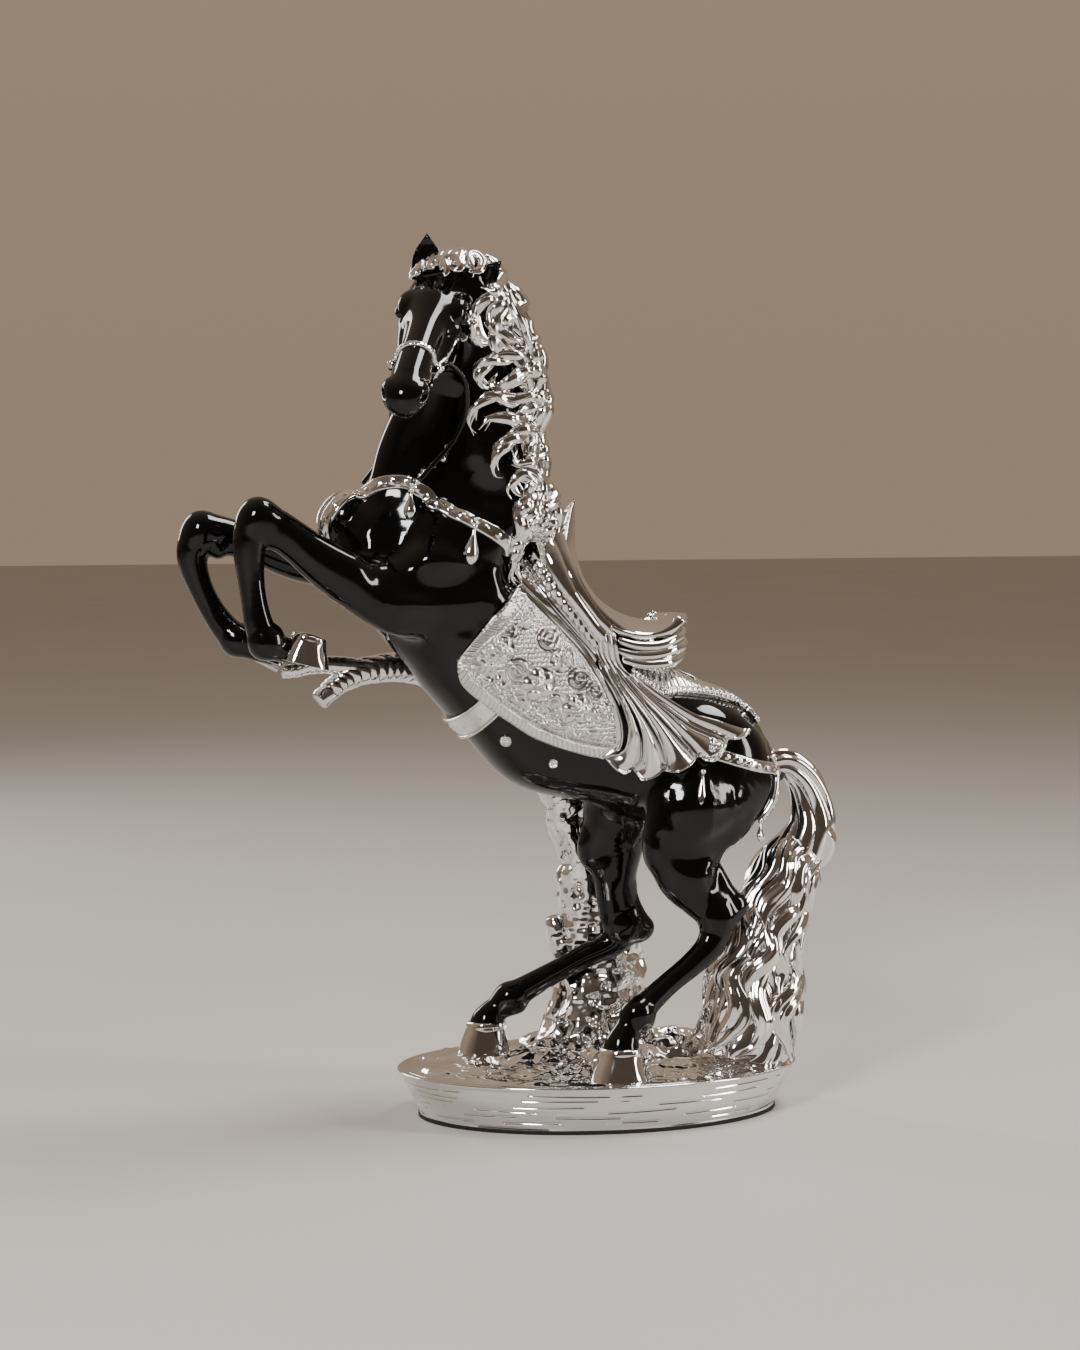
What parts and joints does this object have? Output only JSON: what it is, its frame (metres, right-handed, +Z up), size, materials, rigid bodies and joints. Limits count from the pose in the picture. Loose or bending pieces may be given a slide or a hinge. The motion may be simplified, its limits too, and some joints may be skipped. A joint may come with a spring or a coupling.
{
  "type": "horse statue",
  "caption": "Rearing horse statue in black lacquer and silver plate, propped by a tree trunk and its tail on an oval base.",
  "frame": {"origin": "centre of the base's underside, on the felt pad's resting face", "axes": "+Z up; X along the base's long axis, with the horse facing -X; the horse's left side faces -Y"},
  "size_m": [0.3975, 0.1806, 0.5232],
  "materials": {
    "black_lacquer": "deep gloss black lacquer over the casting",
    "eye_gloss": "high gloss black enamel",
    "plated_base": "bright silver plate, engraved and darkened in the lines",
    "plated_bark": "bright silver plate over bark texture",
    "plated_hair": "bright silver plate over combed locks",
    "plated_hoof": "polished silver plate",
    "plated_saddle": "mirror-polished silver plate",
    "plated_cloth": "silver plate over embossing, darkened in the recesses",
    "plated_tack": "silver plate over embossed straps",
    "zinc_steel": "zinc-plated steel",
    "black_felt": "pressed felt"
  },
  "bodies": {
    "root": {"base_plinth": "plated_base", "felt_pad": "black_felt", "ground_rocks": "plated_base", "tree_trunk": "plated_bark", "tree_branch": "plated_bark", "branch_stub": "plated_bark", "torso": "black_lacquer", "neck": "black_lacquer", "head": "black_lacquer", "left_ear": "black_lacquer", "right_ear": "black_lacquer", "eyes": "eye_gloss", "forelock": "plated_hair", "mane": "plated_hair", "left_foreleg": "black_lacquer", "right_foreleg": "black_lacquer", "left_hindleg": "black_lacquer", "right_hindleg": "black_lacquer", "left_fore_hoof": "plated_hoof", "right_fore_hoof": "plated_hoof", "left_hind_hoof": "plated_hoof", "right_hind_hoof": "plated_hoof", "tail_dock": "plated_hair", "tail_locks": "plated_hair", "saddle_seat": "plated_saddle", "saddle_skirts": "plated_saddle", "left_blanket": "plated_cloth", "right_blanket": "plated_cloth", "left_drape": "plated_cloth", "right_drape": "plated_cloth", "rear_drape": "plated_cloth", "girth": "plated_tack", "breast_collar": "plated_tack", "breast_pendants": "plated_tack", "breeching_strap": "plated_tack", "breeching_pendants": "plated_tack", "strap_rosettes": "plated_tack", "noseband": "plated_tack", "cheek_straps": "plated_tack", "reins": "black_lacquer", "left_leg_stud": "zinc_steel", "right_leg_stud": "zinc_steel", "tree_bolts": "zinc_steel", "tail_bolt": "zinc_steel", "base_nuts": "zinc_steel", "base_washers": "zinc_steel", "neck_pins": "zinc_steel", "head_pin": "zinc_steel", "foreleg_pins": "zinc_steel", "hindleg_pins": "zinc_steel", "fore_hoof_pins": "zinc_steel", "tail_pin": "zinc_steel", "saddle_screws": "zinc_steel"}
  },
  "joints": []
}
